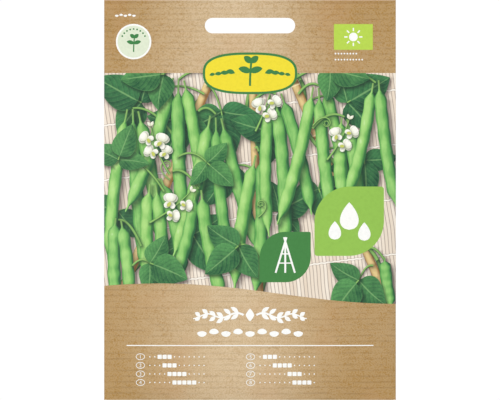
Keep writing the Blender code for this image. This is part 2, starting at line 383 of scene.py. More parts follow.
def folded_paper():
    """The whole sheet: a grid on u and z, with the flap's rows under the front's columns only, then made
    as thick as the paper, with the pale core on its cut rims, and cut through for the slot.
    """
    front = columns_across(COLUMN_PITCH)
    turn = FOLD_X + ARC * np.linspace(0, 1, 7)[1:]
    panel = FOLD_X + ARC + (front + FOLD_X)[1:]
    ends = (TO_BACK + LAP_RIGHT, TO_BACK - LAP_LEFT)
    left, right = (np.append(panel[panel < end - 0.4 * MM], end) for end in ends)
    u = np.concatenate([-left[::-1], -turn[::-1], front, turn, right])
    low = FOLD_Z + np.array([0.0, 0.3, 0.7, 1.2, 1.8]) * MM
    middle = np.arange(2.6, 16, 0.8) * MM + FOLD_Z
    z = np.concatenate([low, middle, np.linspace(FOLD_Z + 16 * MM, TOP, 92)])[:, None]
    pouch = sheet_point(u, z, lap_lift(u))
    pouch[0, np.abs(pouch[0, :, 0]) > FOLD_X - FLAP_INSET + 0.1 * MM, 2] = FOOT + PAPER / 4
    flap = flap_rows(u)
    points = np.concatenate([flap, pouch])
    under_front = np.abs(u) <= FOLD_X - FLAP_INSET + 1e-9
    kept = np.ones((len(points) - 1, len(u) - 1), dtype=bool)
    kept[: len(flap)] = under_front[:-1] & under_front[1:]
    made = new_piece("folded_paper", grid_mesh("folded_paper", points, kept))
    made.data.materials.append(kraft_paper)
    made.data.materials.append(cut_edge)
    wall = made.modifiers.new("wall", "SOLIDIFY")
    wall.thickness = PAPER
    wall.offset = 0.0
    wall.use_even_offset = True
    wall.material_offset_rim = 1
    cutter = slot_bar()
    cut = made.modifiers.new("hang slot", "BOOLEAN")
    cut.operation = "DIFFERENCE"
    cut.solver = "EXACT"
    cut.material_mode = "TRANSFER"
    cut.object = cutter
    depsgraph = bpy.context.evaluated_depsgraph_get()
    mesh = bpy.data.meshes.new_from_object(made.evaluated_get(depsgraph))
    made.modifiers.clear()
    made.data = mesh
    bpy.data.objects.remove(cutter)
    mesh.shade_smooth()
    mesh.set_sharp_from_angle(angle=math.radians(35))
    return made


paper = folded_paper()
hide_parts("packet_sheet")

# The seeds
# Cream climbing-bean seeds, loose in the foot of the pouch. Their coats are smooth and faintly glossy,
# with fine veins and a browner bloom.

finish = Finish("seed_coat", ink(238, 228, 204))
bloom = finish.noise(160, detail=3.0)
vein = abs(finish.noise(420, detail=5.0) - 0.5).rising(0.05, 0.0)
finish.over(bloom.rising(0.45, 0.75) * 0.5, ink(206, 184, 146))
finish.over(vein * 0.25, ink(176, 150, 112))
seed_coat = finish.done(bloom * 0.2 + 0.25, vein)
for name in seed_names:
    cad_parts[name].material_slots[0].material = seed_coat

# Printed shapes
# Ink lies on each face as one thin film in many colours. Each shape is an outline in millimetres on the
# flat paper. Later shapes cover earlier ones, and all outlines of a face together are cut into triangles,
# so that no two inks overlap.

FILM = 0.03 * MM  # from the paper's face to the film
PICTURE_TOP = 114.4
GRID = 1.15  # between the points that bend the film with the paper
BLEED = (FOLD_X + ARC / 2) / MM  # the picture runs half round the side folds
SLOPE = 0.05 * MM  # the length over which the film's slopes are taken
LIGHT = (-0.6, 0.8)  # the painted light comes from the upper left
SHADE = np.array([0.55, -0.75])  # where a shape's painted shade falls, for each unit of its height

FLAT_INKS = {
    "deep_green": (58, 128, 68),
    "yellow": (241, 222, 48),
    "white": (252, 252, 248),
    "pale_green": (224, 233, 208),
    "lime": (184, 215, 77),
    "leaf_green": (148, 195, 80),
    "mid_green": (65, 131, 65),
}


def flat_ink(name, colour):
    """One solid printing colour, with the faint unevenness of ink on rough paper."""
    finish = Finish(name, colour)
    patch = finish.noise(900, detail=3.0)
    finish.over(patch.rising(0.35, 0.8), (*(0.94 * part for part in colour[:3]), 1.0))
    return finish.done(patch * 0.15 + 0.5, patch, 0.004 * MM)


finishes = {name: flat_ink("print_" + name, ink(*tone)) for name, tone in FLAT_INKS.items()}


class Shape:
    """A printed shape: its outline, and for a ribbon the line along its middle and its half widths.

    tint is its tone among its kind, and height how far it seems to stand off the print under it. A bound
    shape is cut off at the picture's edge.
    """

    def __init__(self, ink_name, outline, line=None, widths=None, tint=0.5, height=0.0, bound=False):
        self.ink, self.tint, self.height, self.bound = ink_name, tint, height, bound
        self.outline, self.line, self.widths = outline, line, widths
        self.low, self.high = outline.min(axis=0), outline.max(axis=0)

    def near(self, points, offset=0.0, margin=0.0):
        """Which points lie in the shape's box, moved by offset and wider by margin."""
        inside = (points > self.low + offset - margin) & (points < self.high + offset + margin)
        return np.nonzero(inside.all(axis=1))[0]

    def nearest(self, points):
        """Each point's place along the line from 0 to 1, its distance to it, positive on its left, the
        half width there, and how far the left side is turned to the painted light, from -1 to 1.
        """
        start, step = self.line[:-1], np.diff(self.line, axis=0)
        share = ((points[:, None] - start) * step).sum(-1) / (step**2).sum(-1)
        share = np.clip(share, 0.0, 1.0)
        away = points[:, None] - start - share[..., None] * step
        distance = np.linalg.norm(away, axis=-1)
        best = distance.argmin(axis=1)
        row = np.arange(len(points))
        share = share[row, best]
        ahead = step[best] / np.linalg.norm(step[best], axis=1)[:, None]
        side = np.sign(ahead[:, 0] * away[row, best, 1] - ahead[:, 1] * away[row, best, 0])
        width = self.widths[best] * (1 - share) + self.widths[best + 1] * share
        leftward = -ahead[:, 1] * LIGHT[0] + ahead[:, 0] * LIGHT[1]
        return (best + share) / len(step), side * distance[row, best], width, leftward


def painted_shade(points, covers):
    """How dark points are for the shapes over them: 1 under those, and fading to their lower right, further
    and softer with a shape's height.
    """
    shade = np.zeros(len(points))
    for other in covers:
        if not other.height or other.line is None:
            continue
        offset = SHADE * other.height
        soft = 0.5 + 0.8 * other.height
        near = other.near(points, offset, soft)
        if len(near):
            _, distance, width, _ = other.nearest(points[near] - offset)
            beyond = np.abs(distance) - width
            shade[near] = np.maximum(shade[near], 1 - smooth(beyond, -0.5 * soft, soft))
    return shade


def divided(outline, step):
    """The outline with points added along its sides, evenly, so that none is further apart than step."""
    closed = np.concatenate([outline, outline[:1]])
    counts = np.ceil(np.linalg.norm(np.diff(closed, axis=0), axis=1) / step).astype(int).clip(1)
    places = np.repeat(np.arange(len(outline)), counts)
    within = np.arange(counts.sum()) - np.repeat(counts.cumsum() - counts, counts)
    places = places + within / np.repeat(counts, counts)
    return np.stack([np.interp(places, np.arange(len(closed)), axis) for axis in closed.T], axis=1)


def is_inside(points, outline):
    """Whether each point is inside the outline, by its winding number: the edges that go up on the
    point's right, less those that go down there.
    """
    start, end = outline, np.roll(outline, -1, axis=0)
    edge = end - start
    height = points[:, 1:]
    left = edge[:, 0] * (height - start[:, 1]) - (points[:, :1] - start[:, 0]) * edge[:, 1]
    upward = (start[:, 1] <= height) & (end[:, 1] > height) & (left > 0)
    downward = (start[:, 1] > height) & (end[:, 1] <= height) & (left < 0)
    return upward.sum(axis=1) != downward.sum(axis=1)


class Face:
    """The print on one face. Its places are millimetres to the right of its middle, and up from the foot."""

    def __init__(self, prefix, middle):
        self.prefix = prefix
        self.middle = middle
        self.shapes = []

    def mark(self, ink_name, outline):
        """A plain shape."""
        self.shapes.append(Shape(ink_name, outline))

    def ribbon(self, ink_name, line, widths, **more):
        """A shape that follows a line, widths to each side of it. A width of nothing closes an end."""
        line = np.asarray(line, float)
        widths = np.broadcast_to(np.asarray(widths, float), len(line)).copy()
        ahead = np.gradient(line, axis=0)
        ahead /= np.linalg.norm(ahead, axis=1)[:, None] + 1e-12
        aside = np.stack([-ahead[:, 1], ahead[:, 0]], axis=1) * widths[:, None]
        first = 1 if widths[0] < 1e-6 else 0
        last = len(line) - (1 if widths[-1] < 1e-6 else 0)
        outline = np.concatenate([line + aside, (line - aside)[first:last][::-1]])
        self.shapes.append(Shape(ink_name, outline, line, widths, **more))

    def on_sheet(self, flat, lift, across=0.0, up=0.0):
        """The sheet's points at flat places, lift outwards, and then moved on by across and up."""
        return sheet_point(self.middle + flat[:, 0] * MM + across, FOOT + flat[:, 1] * MM + up, lift)

    def add_film(self, name, ink_name, flat, faces, films):
        """A piece of one ink, so many films off the paper. Returns its mesh."""
        mesh = new_mesh(name, self.on_sheet(flat, PAPER / 2 + films * FILM), faces)
        mesh.materials.append(finishes[ink_name])
        piece = new_piece(name, mesh)
        return mesh

    def print_shapes(self, filling, guides=()):
        """Cuts all shapes into triangles, gives each triangle to the last shape that covers it, and makes
        a piece for each ink. The first shape is the picture's ground. No triangle crosses a guide line.
        """
        outlines = [divided(shape.outline, GRID) for shape in self.shapes]
        edges = []
        for outline in outlines:
            first = len(edges)
            edges += [(first + i, first + (i + 1) % len(outline)) for i in range(len(outline))]
        count = len(edges)
        for guide in guides:
            edges += [(count + i, count + i + 1) for i in range(len(guide) - 1)]
            count += len(guide)
        points = np.concatenate([*outlines, *guides, filling])
        result = delaunay_2d_cdt(points.tolist(), edges, [], 0, 1e-4)
        points = np.array([tuple(point) for point in result[0]])
        triangles = np.array(result[2])
        middles = points[triangles].mean(axis=1)
        in_picture = is_inside(middles, outlines[0])
        owner = np.full(len(triangles), -1)
        for number, shape in enumerate(self.shapes):
            near = shape.near(middles)
            near = near[is_inside(middles[near], shape.outline)]
            owner[near[in_picture[near]] if shape.bound else near] = number
        by_ink = {}
        for number in np.unique(owner[owner >= 0]):
            by_ink.setdefault(self.shapes[number].ink, []).append((number, triangles[owner == number]))
        for ink_name, parts in by_ink.items():
            self.print_ink(ink_name, parts, points)

    def print_ink(self, ink_name, parts, points):
        """The piece of one ink, from the number and the triangles of each of its shapes. A corner carries
        its place along and across its shape, and its normal is that of the smooth sheet.
        """
        used, corners = np.unique(np.concatenate([part for _, part in parts]), return_inverse=True)
        flat = points[used]
        mesh = self.add_film(self.prefix + ink_name, ink_name, flat, corners.reshape(-1, 3).tolist(), 1)
        rows = []
        for number, part in parts:
            shape = self.shapes[number]
            own, back = np.unique(part, return_inverse=True)
            spots = points[own]
            if shape.line is None:
                s, t = ((spots - shape.low) / (shape.high - shape.low)).T
                t = 2 * t - 1
                leftward = 0 * s
            else:
                s, distance, width, leftward = shape.nearest(spots)
                t = np.clip(distance / np.maximum(width, 1e-3), -1.0, 1.0)
            dark = painted_shade(spots, self.shapes[number + 1 :])
            row = np.stack([s, t, 0 * s + shape.tint, dark, t * leftward])
            rows.append(row[:, back.reshape(-1)])
        s, t, *layers = np.concatenate(rows, axis=1)
        chart = mesh.uv_layers.new(name="along_across")
        chart.uv.foreach_set("vector", np.stack([s, t], 1).ravel())
        for name, values in zip(("tint", "shade", "facing"), layers):
            layer = mesh.attributes.new(name, "FLOAT", "CORNER")
            layer.data.foreach_set("value", values.astype(np.float32))
        lift = PAPER / 2 + FILM
        across = self.on_sheet(flat, lift, across=SLOPE) - self.on_sheet(flat, lift, across=-SLOPE)
        up = self.on_sheet(flat, lift, up=SLOPE) - self.on_sheet(flat, lift, up=-SLOPE)
        normals = np.cross(across, up)
        normals /= np.linalg.norm(normals, axis=1)[:, None]
        mesh.shade_smooth()
        mesh.normals_split_custom_set_from_vertices(normals.tolist())

    def print_numbers(self, name, ink_name, marks):
        """Plain numbers as a piece of their own: each mark is its digits, its middle and its height."""
        points, faces = [], []
        for digits, middle, height in marks:
            text = bpy.data.curves.new("digits", "FONT")
            text.body = digits
            holder = bpy.data.objects.new("digits", text)
            mesh = bpy.data.meshes.new_from_object(holder)
            flat = np.array([corner.co[:2] for corner in mesh.vertices])
            low, high = flat.min(axis=0), flat.max(axis=0)
            flat = (flat - (low + high) / 2) * (height / (high - low)[1]) + np.array(middle)
            faces += [[corner + len(points) for corner in face.vertices] for face in mesh.polygons]
            points += flat.tolist()
            bpy.data.objects.remove(holder)
        self.add_film(name, ink_name, np.array(points), faces, 2)


front = Face("front_", 0.0)
back = Face("back_", -TO_BACK)


def paint(ink_name, line, widths, tint=0.5, height=0.0):
    """A ribbon of the picture, cut off at the picture's edge."""
    front.ribbon(ink_name, line, widths, tint=tint, height=height, bound=True)


def towards(heading):
    """One step in a heading, in degrees clockwise from straight up."""
    return np.array([math.sin(math.radians(heading)), math.cos(math.radians(heading))])


def path(start, heading, length, bend=0.0, count=40, curl=1.0):
    """A curve from start. Its heading turns by bend, as the share of its length to the power curl."""
    share = (np.arange(count - 1) + 0.5) / (count - 1)
    angle = np.radians(heading + bend * share**curl)
    steps = np.stack([np.sin(angle), np.cos(angle)], axis=1) * length / (count - 1)
    return np.concatenate([[start], start + np.cumsum(steps, axis=0)])


def pointed(count, half_width, foot, tip):
    """Half widths s^foot (1 - s)^tip along a ribbon, scaled to half_width where it is widest."""
    share = np.linspace(0.0, 1.0, count)
    profile = share**foot * (1 - share) ** tip
    return half_width * profile / profile.max()


def almond(count, half_width, power=1.0):
    """Half widths along a sine from end to end, to a power below 1 for blunter ends."""
    return half_width * (np.sin(np.linspace(0.0, math.pi, count)) + 1e-6) ** power


def round_outline(middle, across, up=None, power=2.0, count=56):
    """A circle or ellipse, or with a higher power a squarer superellipse |a|^p + |b|^p = 1."""
    turn = np.arange(count) * 2 * math.pi / count
    cos, sin = np.cos(turn), np.sin(turn)
    a = np.sign(cos) * np.abs(cos) ** (2 / power) * across / 2
    b = np.sign(sin) * np.abs(sin) ** (2 / power) * (up or across) / 2
    return np.stack([middle[0] + a, middle[1] + b], axis=1)


def box_outline(middle, across, up, radius, other=None):
    """A box with one radius at its lower right and upper left corner, and another at the other two."""
    corners = []
    for start, a, b in ((-90, 1, -1), (0, 1, 1), (90, -1, 1), (180, -1, -1)):
        bend = other if other and a == b else radius
        turn = np.radians(np.linspace(start, start + 90, int(bend * 3) + 3))
        corner = np.array(middle) + (a * (across / 2 - bend), b * (up / 2 - bend))
        corners.append(corner + bend * np.stack([np.cos(turn), np.sin(turn)], axis=1))
    return np.concatenate(corners)


# The picture's ground
# A screen of pale reeds, bound by thin threads, behind the climbing beans. It fills the band between the
# header and the waved edge of the bare lower band.

WAVE_MIDDLE = 37.3
WAVE_HEIGHT = 3.6
WAVE_CREST = -31.5
WAVE_LENGTH = 168.0
REED = 1.25 * MM
REED_TILT = math.radians(7)
THREAD_PITCH = 19 * MM

edge = np.linspace(-BLEED, BLEED, 90)
wave = WAVE_MIDDLE + WAVE_HEIGHT * np.cos(2 * math.pi * (edge - WAVE_CREST) / WAVE_LENGTH)
picture_foot = np.stack([edge, wave], axis=1)
picture_top = np.stack([edge[::-1], np.full(len(edge), PICTURE_TOP)], axis=1)
front.mark("reed_screen", np.concatenate([picture_foot, picture_top]))

# Upright reeds, each with its own tone, round shading and grain, dark gaps and pale threads.
finish = Finish("print_reed_screen", ink(248, 239, 224))
x, _, z = finish.parts(finish.coordinates(), 3)
drift = finish.noise(60, detail=1.0) - 0.5
beside = x * math.cos(REED_TILT) + z * math.sin(REED_TILT) + drift * (1.2 * MM)
along = z * math.cos(REED_TILT) - x * math.sin(REED_TILT)
number = beside * (1 / REED)
middle = abs(number.maths("FRACT") - 0.5)
tone = finish.node("TexWhiteNoise", 0, {"W": number.maths("FLOOR")}, noise_dimensions="1D")
grain = finish.noise(1.0, stretch=(2400, 2400, 260), detail=3.0)
bow = number.wave(2.0) * (0.10 * MM)
thread = abs(((along + bow) * (1 / THREAD_PITCH)).maths("FRACT") - 0.5) * THREAD_PITCH
finish.over(tone * 0.7 + grain * 0.3, ink(228, 210, 188))
finish.over(middle.rising(0.22, 0.46) * 0.28, ink(182, 160, 144))
finish.over(middle.rising(0.38, 0.48) * 0.75, ink(134, 116, 110))
finish.over(thread.rising(0.55 * MM, 0.30 * MM) * 0.5, ink(120, 92, 84))
finish.over(thread.rising(0.34 * MM, 0.20 * MM), ink(250, 244, 232))
finishes["reed_screen"] = finish.painted(grain, ink(62, 46, 50))

# The canes and vines
# Three bamboo canes lean together behind the plaque, with a vine wound round each: the far half of every
# turn passes behind the cane and the near half in front of it.

draw = random.Random(21)
VINE = 0.70  # half the vine's width
CANES = [
    ((-48.0, 30.0), (-9.0, 124.0), 3.1, 3.0, 0.4),
    ((3.5, 30.0), (0.5, 124.0), 2.8, 2.5, 2.2),
    ((50.0, 30.0), (10.0, 124.0), 3.0, 3.0, 1.2),
]


def add_cane(start, end, width, turns, first_phase):
    """A cane as a straight ribbon, and its vine as a sine wave about it."""
    start, end = np.array(start), np.array(end)
    share = np.linspace(0.0, 1.0, 110)[:, None]
    aside = np.array([-(end - start)[1], (end - start)[0]]) / np.linalg.norm(end - start)
    phase = 2 * math.pi * turns * share + first_phase
    line = start + (end - start) * share
    vine = line + aside * (0.5 * width + 0.9) * np.sin(phase)
    paint("vines", vine, VINE, 0.35, 0.6)
    paint("canes", line, width / 2, draw.random(), 1.6)
    near = (np.cos(phase) > 0.05)[:, 0]
    for run in np.split(np.arange(len(near)), np.nonzero(np.diff(near))[0] + 1):
        if run[0] and near[run[0]] and len(run) > 3:
            paint("vines", vine[run], VINE, 0.6, 0.7)


def add_arch(start, end, first_width, last_width, tint):
    """A stalk between two points that arches up between them, along a parabola."""
    share = np.linspace(0.0, 1.0, 30)[:, None]
    rise = np.array([0.0, 0.16 * np.linalg.norm(end - start) + 0.6])
    stalk = start + (end - start) * share + rise * 4 * share * (1 - share)
    paint("vines", stalk, np.linspace(first_width, last_width, 30), tint, 0.5)


def add_leaflet(base, heading, length, breadth, bend, tint):
    """A broad leaflet with a drawn-out tip."""
    line = path(base, heading, length, bend, count=34)
    paint("leaves", line, pointed(34, breadth / 2, 0.45, 0.95), tint, 1.0)


def add_leaf(cane_point, tip, heading, size, tint):
    """A leaf of three leaflets on an arched stalk: the side ones stand off its tip, the third goes on."""
    tip = np.array(tip, float)
    add_arch(np.array(cane_point, float), tip, 0.42, 0.34, 0.6)
    for side in (-1, 1):
        angle = heading + side * draw.uniform(64, 84)
        length = size * draw.uniform(0.80, 0.94)
        breadth = length * draw.uniform(0.58, 0.80)
        add_leaflet(tip, angle, length, breadth, side * 18, tint + draw.uniform(-0.15, 0.15))
    ahead = towards(heading)
    paint("vines", [tip, tip + ahead * 0.9, tip + ahead * 2.0], 0.3, 0.6, 0.3)
    breadth = size * draw.uniform(0.66, 0.84)
    add_leaflet(tip + ahead * 1.4, heading, size, breadth, draw.uniform(-14, 14), tint)


def add_pod(start, heading, length, width, bend, tint):
    """A pod: a thin stalk, a body that swells a little over each seed, and a beak that curves away."""
    line = path(start, heading, length, bend, count=64, curl=1.5)
    share = np.linspace(0.0, 1.0, len(line))
    body = smooth(share, 0.05, 0.15) * (1 - smooth(share, 0.84, 0.97) * 0.88)
    ripple = 1 + 0.045 * np.cos(2 * math.pi * share * length / 6.5)
    widths = width / 2 * np.maximum(body * ripple, 0.15 * (1 - smooth(share, 0.985, 1.0)))
    widths[-1] = 0.0
    paint("pods", line, widths, tint, 1.5)


def add_bunch(cane_point, hang_point, pods):
    """Pods that hang from one arched shoot. Each is its heading, length and bend."""
    hang_point = np.array(hang_point, float)
    add_arch(np.array(cane_point, float), hang_point, 0.55, 0.42, 0.45)
    for number, (heading, length, bend) in enumerate(pods):
        spread = (number - (len(pods) - 1) / 2) * 1.9
        start = hang_point + np.array([spread, draw.uniform(-1.5, 1.0)])
        add_pod(start, heading, length, draw.uniform(4.1, 4.8), bend, draw.uniform(0.0, 1.0))


def add_tendril(start, heading, length, turns):
    """A thin tendril that curls up towards its end."""
    curl = path(start, heading, length, turns * 360, count=70, curl=2.2)
    paint("vines", curl, np.linspace(0.26, 0.12, 70), 0.8, 0.3)


for cane in CANES:
    add_cane(*cane)

# Bamboo: straw with darker sides, long grain, and a brown ring with a pale bloom at each joint.
finish = Finish("print_canes", ink(150, 108, 58))
s, _ = finish.along_across()
grain = finish.noise(1.0, stretch=(1500, 1500, 180), detail=3.0)
joint = abs((s * 5.0 + 0.2).maths("FRACT") - 0.5)
finish.over(finish.rounded().rising(0.25, 1.0), ink(240, 214, 150))
finish.over(grain.rising(0.5, 0.8) * 0.4, ink(150, 112, 62))
finish.over(joint.rising(0.030, 0.012) * 0.8, ink(112, 78, 42))
finish.over(joint.rising(0.060, 0.035) * joint.rising(0.030, 0.040), ink(244, 228, 186))
finishes["canes"] = finish.painted(grain, ink(70, 48, 30))

# A green stem, round, with darker patches.
finish = Finish("print_vines", ink(36, 84, 50))
patch = finish.noise(300, detail=2.0)
light = finish.mix(finish.attribute("tint"), ink(122, 172, 88), ink(160, 208, 112))
finish.over(finish.rounded().rising(0.20, 0.95), light)
finish.over(patch.rising(0.5, 0.8) * 0.35, ink(70, 120, 64))
finishes["vines"] = finish.painted(patch, ink(20, 50, 36))

# The leaves and pods
# Bean leaves have three broad leaflets on one stalk. Pods hang in twos and threes from short shoots, slim,
# with faint swellings over their seeds and a thin curved beak.

# Each leaf: where its stalk leaves the cane, its tip, the heading and size of its end leaflet, and its tint.
BACK_LEAVES = [
    ((-16, 107), (-38, 104), -62, 17, 0.10),
    ((-15, 110), (-10, 101), 170, 15, 0.05),
    ((19, 103), (34, 104), 60, 16, 0.10),
    ((-35, 61), (-46, 66), -140, 15, 0.15),
    ((2, 98), (8, 94), -80, 14, 0.08),
    ((26, 87), (40, 84), 175, 14, 0.12),
    ((-33, 66), (-20, 58), 150, 15, 0.10),
    ((2, 80), (-8, 80), 210, 13, 0.05),
    ((28, 82), (24, 74), 160, 13, 0.08),
    ((-22, 93), (-24, 98), 200, 15, 0.05),
    ((2, 60), (10, 66), 60, 13, 0.10),
]
# Each bunch: its place on the cane, where the shoot hangs, and each pod's heading, length and bend.
BUNCHES = [
    ((-24, 88), (-41, 102), [(191, 56, -12), (178, 60, -8), (167, 48, 10)]),
    ((-13, 113), (-25, 112), [(194, 50, 14), (181, 58, -10), (168, 42, 8)]),
    ((-30, 74), (-33, 77), [(186, 40, -16), (172, 44, 14), (161, 36, 16)]),
    ((-18, 101), (-12, 100), [(190, 52, 12), (178, 60, -12), (167, 50, -8)]),
    ((-38, 54), (-46, 63), [(184, 30, -12), (170, 32, 12)]),
    ((-27, 80), (-18, 74), [(188, 36, 18), (174, 40, -14)]),
    ((2, 88), (3, 87), [(193, 48, -10), (178, 52, 12)]),
    ((1, 104), (9, 107), [(186, 50, -14), (173, 56, 10), (162, 44, 10)]),
    ((17, 107), (24, 110), [(190, 50, 12), (177, 54, -10), (166, 44, 6)]),
    ((22, 95), (33, 99), [(184, 28, -12), (168, 32, 14)]),
    ((15, 112), (44, 111), [(188, 42, 14), (175, 46, -8)]),
    ((40, 53), (47, 49), [(176, 18, -10)]),
]
FRONT_LEAVES = [
    ((-13, 114), (-30, 114), -96, 14, 0.55),
    ((13, 117), (28, 116), 108, 13, 0.50),
    ((-41, 47), (-35, 48), 110, 13, 0.45),
    ((-25, 85), (-15, 83), 130, 11, 0.70),
    ((43, 47), (38, 42), 222, 14, 0.50),
    ((3, 50), (-4, 54), 228, 14, 0.40),
    ((-30, 73), (-46, 84), 20, 12, 0.60),
]
TENDRILS = [((-28, 77), -50, 18, 1.9), ((3, 64), 50, 16, -2.0), ((22, 96), 40, 17, 2.0)]

for leaf in BACK_LEAVES:
    add_leaf(*leaf)
for bunch in BUNCHES:
    add_bunch(*bunch)
for leaf in FRONT_LEAVES:
    add_leaf(*leaf)
for tendril in TENDRILS:
    add_tendril(*tendril)

# A green leaf, plump between its curved side veins, with a net of fine veins. One half is turned to the
# light, and so is one side of each plump part.
finish = Finish("print_leaves")
s, t = finish.along_across()
patch = finish.noise(240, detail=3.0)
crumple = finish.noise(1300, detail=1.0)
tint = finish.attribute("tint")
vein = (s * 7.5 - abs(t) * 2.0 - abs(t) * abs(t) * 0.6 + 0.5).maths("FRACT")
plump = (vein * math.pi).maths("SINE") + (vein * (2 * math.pi) + 0.6).maths("SINE") * 0.5
cells = {"Vector": finish.coordinates(), "Scale": 780}
net = finish.node("TexVoronoi", 0, cells, feature="DISTANCE_TO_EDGE")
turned = finish.attribute("facing").rising(-0.55, 0.55)
light = finish.mix(tint, ink(70, 144, 84), ink(120, 188, 102))
finish.colour = finish.mix(tint, ink(20, 66, 48), ink(38, 104, 58))
finish.over(turned * 0.44 + plump * 0.20 + (patch - 0.5) * 0.9 + (crumple - 0.5) * 0.4 + 0.06, light)
finish.over(net.rising(0.16, 0.02) * 0.16, ink(22, 70, 48))
finish.over(abs(vein - 0.5).rising(0.43, 0.50) * 0.30, ink(130, 184, 118))
finish.over(abs(t).rising(0.07, 0.02) * 0.55, ink(142, 192, 122))
finish.over(abs(t).rising(0.92, 1.0) * 0.25, ink(110, 168, 100))
finishes["leaves"] = finish.painted(patch, ink(12, 36, 30))

# A green pod: round, brighter over its seeds, with a soft broken highlight and a thin seam.
finish = Finish("print_pods")
s, t = finish.along_across()
patch = finish.noise(330, stretch=(1.6, 1.6, 0.6), detail=3.0) - 0.5
tint = finish.attribute("tint")
light = finish.mix(tint, ink(150, 208, 116), ink(176, 222, 130))
middle = finish.mix(tint, ink(94, 166, 82), ink(118, 186, 90))
seeds = (s * 6.5).wave(1.0)
glow = finish.rounded() + patch * 0.55 + seeds * 0.05
finish.colour = finish.mix(tint, ink(34, 92, 56), ink(50, 112, 60))
finish.over(glow.rising(0.18, 0.66), middle)
finish.over(glow.rising(0.58, 0.96), light)
finish.over((glow + seeds * 0.05).rising(0.98, 1.16) * 0.7, ink(222, 242, 190))
finish.over(abs(t + 0.62).rising(0.10, 0.03) * 0.30, ink(176, 216, 130))
finish.over(s.rising(0.10, 0.03) * 0.6, ink(120, 150, 84))
finishes["pods"] = finish.painted(patch, ink(16, 48, 38), roughness=0.45)

# The blossoms
# Short spikes of white bean flowers on thin green stems, printed over the leaves and pods. Each flower
# has one broad upright petal, two wings and a small green-yellow keel.

# Each spike: its start, heading, length, bend and number of flowers.
SPIKES = [
    ((-28, 79), -34, 19, 26, 4),
    ((2, 94), 26, 16, -12, 3),
    ((27, 84), 40, 17, -24, 3),
    ((-35, 62), 62, 19, -20, 3),
]
# Each petal: its turn from the flower's heading, its length and breadth in shares of it, tint and bend.
PETALS = [
    (-34, 0.62, 0.60, 0.62, 0),
    (34, 0.62, 0.60, 0.62, 0),
    (0, 0.60, 0.70, 0.78, 0),
    (150, 0.52, 0.40, 0.95, -30),
    (210, 0.52, 0.40, 0.95, 30),
    (180, 0.36, 0.24, 0.0, 60),
]


def add_blossom(middle, heading, size):
    """A flower: a broad petal behind, two wings in front and a curled keel between them."""
    for turn, length, breadth, tint, bend in PETALS:
        petal = path(middle, heading + turn, size * length, bend, count=14)
        paint("blossoms", petal, pointed(14, size * breadth / 2, 0.5, 0.4), tint, 0.35)


def add_spike(start, heading, length, bend, flowers):
    """A flower spike: a thin stem with buds at its tip and flowers in turn on both sides."""
    stem = path(start, heading, length, bend, count=24)
    paint("vines", stem, np.linspace(0.42, 0.18, len(stem)), 0.7, 0.4)
    for number in range(flowers):
        spot = stem[int((0.35 + 0.5 * number / flowers) * (len(stem) - 1))]
        side = -1 if number % 2 else 1
        around = heading + bend * 0.6 + side * 62
        middle = spot + towards(around) * 2.5
        paint("vines", [spot, (spot + middle) / 2, middle], 0.22, 0.7)
        add_blossom(middle, around - side * 20, draw.uniform(4.2, 5.2))
    for side in (-1, 1):
        bud = path(stem[-2], heading + bend + side * 32, 2.0, count=8)
        paint("blossoms", bud, almond(8, 0.55), 0.4, 0.3)


for spike in SPIKES:
    add_spike(*spike)

# White petals that turn cream and green towards their base and darker side.
finish = Finish("print_blossoms", ink(252, 250, 240))
s, _ = finish.along_across()
patch = finish.noise(500, detail=2.0)
finish.over(s.rising(0.6, 0.0) * 0.6 + (patch - 0.5) * 0.4, ink(214, 220, 176))
finish.over(finish.rounded().rising(0.75, 0.25) * 0.45, ink(182, 192, 158))
is_petal = finish.attribute("tint").rising(0.05, 0.5)
finish.colour = finish.mix(is_petal, ink(196, 204, 96), finish.colour)
finishes["blossoms"] = finish.painted(patch, ink(84, 96, 66))

# Badges and labels
# Flat coloured shapes over the picture and the header: an oval plaque, a round badge, a small upright
# label and two leaf-shaped badges. They hold plain pictograms of garden things and no words.

PLAQUE = np.array([0.0, 114.3])
ROUND_BADGE = np.array([-40.7, 125.4])
LABEL = np.array([36.15, 127.03])
LABEL_DOTS = [(121.2, 8), (119.1, 10)]  # the height of a row of dots under the label, and their number
DROPS = [((34.65, 59.6), 9.6), ((29.6, 56.2), 6.4), ((39.9, 55.8), 6.4)]
TIE_FOOT = np.array([12.3, 44.6])
TIE_HEIGHT = 12.4
TIE_LEAN = 17  # degrees


def add_sun(face, ink_name, middle, size, rays=8):
    """A disc with short rays round it."""
    face.mark(ink_name, round_outline(middle, size * 0.46, count=28))
    for turn in np.arange(rays) * 360 / rays:
        ray = path(np.array(middle) + towards(turn) * size * 0.31, turn, size * 0.17, count=6)
        face.ribbon(ink_name, ray, size * 0.035)


def add_drop(face, ink_name, foot, size):
    """A water drop with a round foot and a pointed top."""
    face.ribbon(ink_name, path(foot, 0, size, count=26), pointed(26, 0.34 * size, 0.5, 0.95))


def add_seedling(face, ink_name, foot, size):
    """A stem with two seed leaves and a smaller pair above them."""
    stem = path(foot, 0, size * 0.78, 6, count=16)
    face.ribbon(ink_name, stem, size * 0.035)
    for at, length, lean in ((9, 0.42, 62), (15, 0.32, 38)):
        for side in (-1, 1):
            leaf = path(stem[at], side * lean, size * length, side * 24, count=18)
            face.ribbon(ink_name, leaf, pointed(18, size * 0.11, 0.6, 0.7))


def add_bean_row(middle, count, pitch, length):
    """A row of little beans that bow down and up in turn."""
    for number in range(count):
        lean = 1 if number % 2 else -1
        start = (middle[0] + (number - (count - 1) / 2) * pitch - 0.47 * length, middle[1])
        bean = path(start, 90 - 30 * lean, length, 60 * lean, count=18)
        front.ribbon("white", bean, almond(18, 0.29 * length, 0.55))


